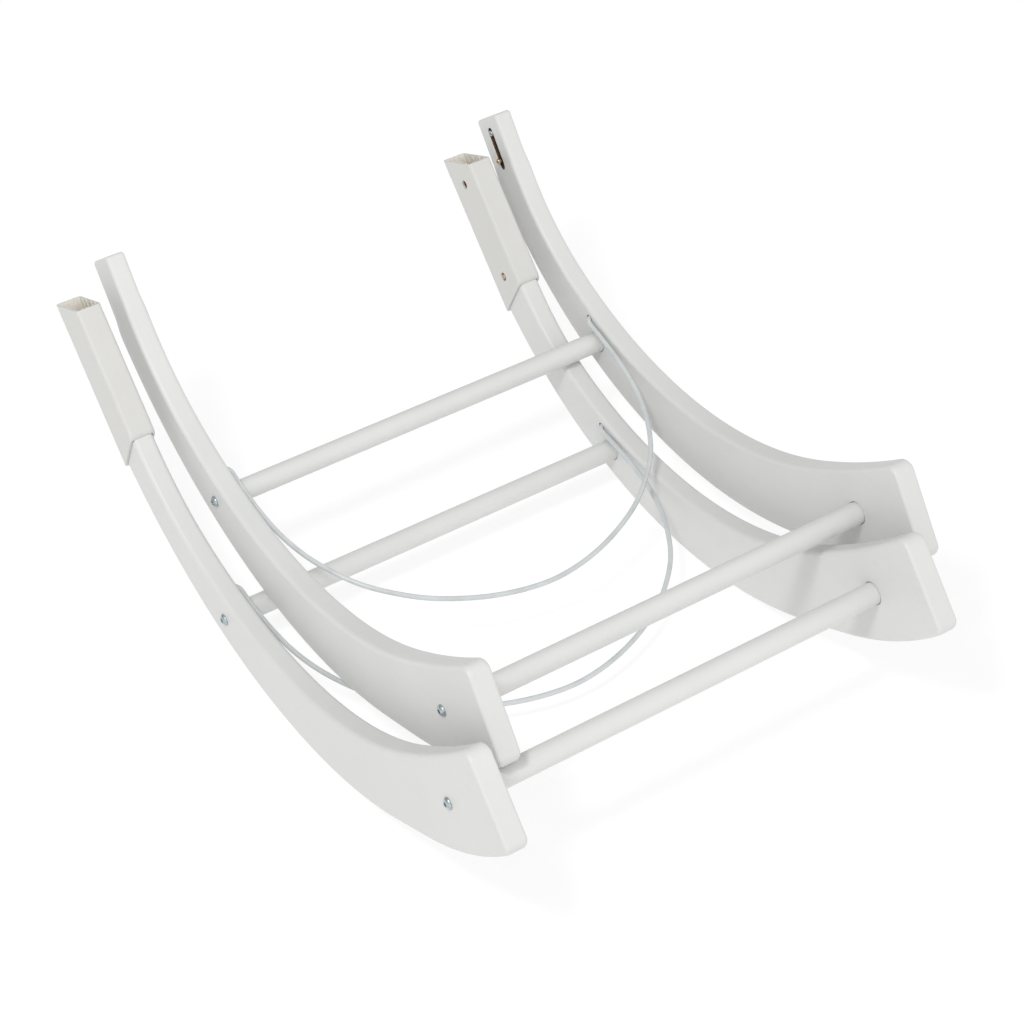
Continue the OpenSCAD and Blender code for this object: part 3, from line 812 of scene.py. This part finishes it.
def sleeve_shell(name):
    """A tube with mitred ends, ribbed inside, with a button hole near each end."""
    x0 = (RAIL_T - SLEEVE_T) / 2 / MM
    x1, w = x0 + SLEEVE_T / MM, SLEEVE_W / 2 / MM
    length = SLEEVE_L / MM
    rings = []
    lip, taper, taper_l, corner = 0.2, 3.6, 6, 4.5
    for t in (0, 15, 30, 45, 60, 75, 90):
        # The inner edge of the tail curves in to meet the rail, the others are only broken.
        k, deep = lip * (1 - math.sin(math.radians(t))), 1 - math.cos(math.radians(t))
        inner = taper * (1 - math.sin(math.radians(t)))
        ring = []
        for x, n in profile(x0 + k, x1 - k, -w + inner, w - k, corner - k, 9):
            near = min(max(-n / w, 0), 1)
            a = 0.2 + deep * (lip + (taper_l - lip) * near) - LEAN * n
            ring.append(head_point(x * MM, n * MM, a * MM))
        rings.append(ring)
    for t in (90, 60, 30, 0):
        k = lip * (1 - math.sin(math.radians(t)))
        end = length - lip + lip * math.cos(math.radians(t))
        outline = profile(x0 + k, x1 - k, -w + k, w - k, corner - k, 9)
        rings.append([head_point(x * MM, n * MM, (end + LEAN * n) * MM) for x, n in outline])
    ob = loft(name, rings)
    cut(ob, prism("cutter", ribbed_cavity(), (5, -LEAN), (length + 3, LEAN)))
    face, half = RAIL_T / MM + 0.1, TAIL_HOLE_W / MM / 2
    tail_hole = [(-0.1, -half), (face, -half), (face, half), (-0.1, half)]
    cut(ob, prism("cutter", tail_hole, (-3, -LEAN), (6, -LEAN)))
    r = HOLE_R
    hole = [(0, r), (5.5 * MM, r), (6.1 * MM, r + 0.6 * MM), (8 * MM, r + 2.5 * MM)]
    for a in (BUTTON_A, SLEEVE_L - BUTTON_A):
        cut(ob, turned_x("cutter", hole, head_point(FACE_X - 2 * MM, 0, a), 64))
    clean(ob)
    second_material(ob, in_cavity)
    # The depth along the sleeve places the painted light and shade of its inside.
    deep = ob.data.attributes.new("depth", "FLOAT", "POINT")
    for item, vert in zip(deep.data, ob.data.vertices):
        x, n, a = head_of(*vert.co)
        item.value = (SLEEVE_L + LEAN * n - a) / SLEEVE_L
    return ob


def in_cavity(x, n, a):
    """Whether a face's centre is inside the sleeve, behind the rims of its ends."""
    wall = SLEEVE_WALL * 0.8
    x0 = (RAIL_T - SLEEVE_T) / 2
    clear = x0 + wall < x < x0 + SLEEVE_T - wall and abs(n) < SLEEVE_W / 2 - wall
    return clear and -LEAN * n + 7 * MM < a < SLEEVE_L + LEAN * n - 0.6 * MM


def make_sleeve(side):
    ob = sleeve_shell(f"socket_{side}_sleeve_shell")
    place(ob, to_row("socket", side))
    finish_piece(ob, "socket_frame", [f"socket_{side}_sleeve"], "sleeve_plastic", IVORY, CAVITY_PAINTED_LIGHT_AND_SHADE)


# ---------------------------------------------------------------- spring buttons
def make_button(name, side):
    """A domed cap on a short stem."""
    x0, x1 = LEAF_X + LEAF_T, FACE_X + BUTTON_OUT
    cap, r = 3.2 * MM, BUTTON_R
    ball = (r * r + cap * cap) / (2 * cap)
    rim = math.asin(r / ball)
    dome = [(x1 - x0 - ball + ball * math.cos(rim * t / 12), ball * math.sin(rim * t / 12))
            for t in range(12, -1, -1)]
    prof = [(0, r - 0.4 * MM), (0.4 * MM, r), (x1 - cap - x0 - 0.3 * MM, r)] + dome
    ob = turned_x(f"{name}_{side}_button_dome", prof, head_point(x0, 0, BUTTON_A), 64)
    place(ob, to_row(name, side))
    finish_piece(ob, f"{name}_{side}_catch", [f"{name}_{side}_button"], "button_metal", BUTTON_PAINTED_REFLECTION)


def make_leaf(name, side):
    """A strip with round corners and broken edges, and a hole for its screw."""
    a0, a1 = BUTTON_A / MM - 4.4, SCREW_A / MM + 4
    r, thick = LEAF_W / MM / 2, LEAF_T / MM
    corner, edge = 2.2, 0.12
    rings = []
    for dx, k in ((0, edge), (edge, 0), (thick - edge, 0), (thick, edge)):
        ring = profile(a0 + k, a1 - k, -r + k, r - k, corner, 5)
        rings.append([head_point(LEAF_X + dx * MM, n * MM, a * MM) for a, n in ring])
    ob = loft(f"{name}_{side}_leaf_strip", rings)
    hole = [(0, 1.9 * MM), (3 * MM, 1.9 * MM)]
    cut(ob, turned_x("cutter", hole, head_point(LEAF_X - 1 * MM, 0, SCREW_A), 32))
    clean(ob)
    place(ob, to_row(name, side))
    finish_piece(ob, f"{name}_{side}_catch", [f"{name}_{side}_leaf"], "spring_steel", SPRING_PAINTED_SHADE)


def make_leaf_screw(name, side):
    """Pan head with a cross recess."""
    x0 = LEAF_X + LEAF_T + 0.8 * MM
    up = x0 - SCREW_TIP_X
    pan = [(0, 3.5), (0.2, 3.7), (1.3, 3.7), (1.8, 3.6), (2.3, 3.3), (2.7, 2.8), (3.0, 2.1), (3.1, 1.2)]
    prof = [(0, 0.4 * MM), (1.2 * MM, 1.45 * MM), (up, 1.45 * MM)]
    prof += [(up + x * MM, r * MM) for x, r in pan]
    start = head_point(SCREW_TIP_X, 0, SCREW_A)
    ob = turned_x(f"{name}_{side}_leaf_screw_head", prof, start, 48)
    for p, q in ((0.5, 2.2), (2.2, 0.5)):
        outline = [(-p, -q), (p, -q), (p, q), (-p, q)]
        rings = [[head_point(x, n * MM, SCREW_A + a * MM) for n, a in outline]
                 for x in (x0 + 1.6 * MM, x0 + 4 * MM)]
        cut(ob, loft("cutter", rings))
    clean(ob)
    place(ob, to_row(name, side))
    finish_piece(ob, f"{name}_frame", [f"{name}_{side}_leaf_screw"], "screw_steel", ZINC)


# ---------------------------------------------------------------- put together
for name in FRAMES:
    make_rails(name)
    for level in LEVELS:
        make_bar(name, level)
        for side in SIDES:
            make_bolt(name, level, side)
    for side in SIDES:
        make_leaf(name, side)
        make_leaf_screw(name, side)
        make_button(name, side)
for side in SIDES:
    make_sleeve(side)


def dress(node_name, material):
    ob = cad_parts[node_name]
    ob.data.materials.clear()
    ob.data.materials.append(material)


for name in FRAMES:
    for side in SIDES:
        for level in LEVELS:
            dress(f"{name}_insert_{level}_{side}", ZINC)
        dress(f"{name}_{side}_ferrule", FERRULE)


# ---------------------------------------------------------------- floor and light
WORLD_FRONT, WORLD_BACK = 1.14, 0.385
KEY_AT = (-1.5, -0.9, 2.8)
KEY_TARGET = (0, 0, 0.1)
KEY_SIZE = 0.5
KEY_POWER = 31
FLOOR_HALF = 12
FLOOR_Z = -0.3 * MM
FLOOR_GREYS = 0.295, 0.305
FLOOR_GLOW = 0.74  # the floor's own light, which keeps it white


def make_floor():
    mat, nt, bsdf = new_material("floor_pale")
    fine = noise(nt, coords(nt), 30, 3)
    low, high = ((grey, grey, grey) for grey in FLOOR_GREYS)
    nt.links.new(ramp(nt, fine, [(0.3, low), (0.7, high)]), bsdf.inputs["Base Color"])
    bsdf.inputs["Emission Color"].default_value = (1, 1, 1, 1)
    bsdf.inputs["Emission Strength"].default_value = FLOOR_GLOW
    bsdf.inputs["Roughness"].default_value = 0.9
    bsdf.inputs["Specular IOR Level"].default_value = 0.1
    corners = [(-1, -1), (1, -1), (1, 1), (-1, 1)]
    verts = [(x * FLOOR_HALF, y * FLOOR_HALF, FLOOR_Z) for x, y in corners]
    ob = mesh_object("floor", verts, [(0, 1, 2, 3)])
    ob.data.materials.append(mat)


def make_key_light():
    data = bpy.data.lights.new("key", "AREA")
    data.shape = "RECTANGLE"
    data.size = KEY_SIZE
    data.size_y = KEY_SIZE
    data.energy = KEY_POWER
    ob = bpy.data.objects.new("key", data)
    bpy.context.scene.collection.objects.link(ob)
    ob.location = KEY_AT
    ob.rotation_euler = (Vector(KEY_TARGET) - Vector(KEY_AT)).to_track_quat("-Z", "Y").to_euler()


def make_studio():
    """A pale studio, brighter in front of the object than behind it."""
    world = bpy.data.worlds.new("studio")
    bpy.context.scene.world = world
    world.use_nodes = True
    nt = world.node_tree
    bg = nt.nodes["Background"]
    tc = nt.nodes.new("ShaderNodeTexCoord")
    split = nt.nodes.new("ShaderNodeSeparateXYZ")
    nt.links.new(tc.outputs["Generated"], split.inputs["Vector"])
    grade = nt.nodes.new("ShaderNodeMapRange")
    grade.inputs["From Min"].default_value = -1
    grade.inputs["From Max"].default_value = 1
    grade.inputs["To Min"].default_value = WORLD_FRONT
    grade.inputs["To Max"].default_value = WORLD_BACK
    nt.links.new(split.outputs["Y"], grade.inputs["Value"])
    nt.links.new(grade.outputs["Result"], bg.inputs["Strength"])
    bg.inputs["Color"].default_value = (1.0, 1.0, 1.0, 1)
    bpy.context.scene.view_settings.view_transform = "Standard"


make_floor()
make_studio()
make_key_light()
